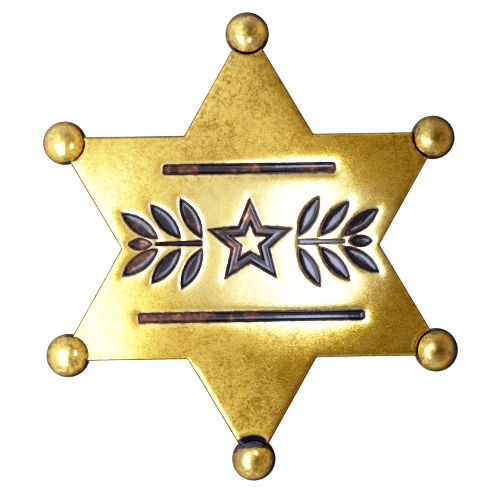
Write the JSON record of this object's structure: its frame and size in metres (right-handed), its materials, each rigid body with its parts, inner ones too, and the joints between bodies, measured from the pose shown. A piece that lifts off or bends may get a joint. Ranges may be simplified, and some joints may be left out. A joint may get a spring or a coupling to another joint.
{
  "type": "six-pointed star badge",
  "caption": "Brass six-pointed star badge with ball tips, dark enamel laurel, star and bars in its face, and a bar pin across its back.",
  "frame": {"origin": "middle of the badge on the surface that its balls lie on", "axes": "+X to the wearer's left as the face is read, +Y to the top point, +Z out of the face"},
  "size_m": [0.0616, 0.07, 0.0066],
  "materials": {
    "brass": "polished antique brass, browned in the grooves",
    "enamel": "glossy brown-black enamel, sunk below the metal",
    "pin_steel": "plain plated steel"
  },
  "bodies": {
    "root": {"star_plate": "brass", "bar_pin": "pin_steel", "enamel_bar_top": "enamel", "enamel_bar_bottom": "enamel", "enamel_star": "enamel", "enamel_stem_left": "enamel", "enamel_stem_right": "enamel", "enamel_leaf_left_1": "enamel", "enamel_leaf_left_2": "enamel", "enamel_leaf_left_3": "enamel", "enamel_leaf_left_4": "enamel", "enamel_leaf_left_5": "enamel", "enamel_leaf_left_6": "enamel", "enamel_leaf_left_7": "enamel", "enamel_leaf_right_1": "enamel", "enamel_leaf_right_2": "enamel", "enamel_leaf_right_3": "enamel", "enamel_leaf_right_4": "enamel", "enamel_leaf_right_5": "enamel", "enamel_leaf_right_6": "enamel", "enamel_leaf_right_7": "enamel"}
  },
  "joints": []
}
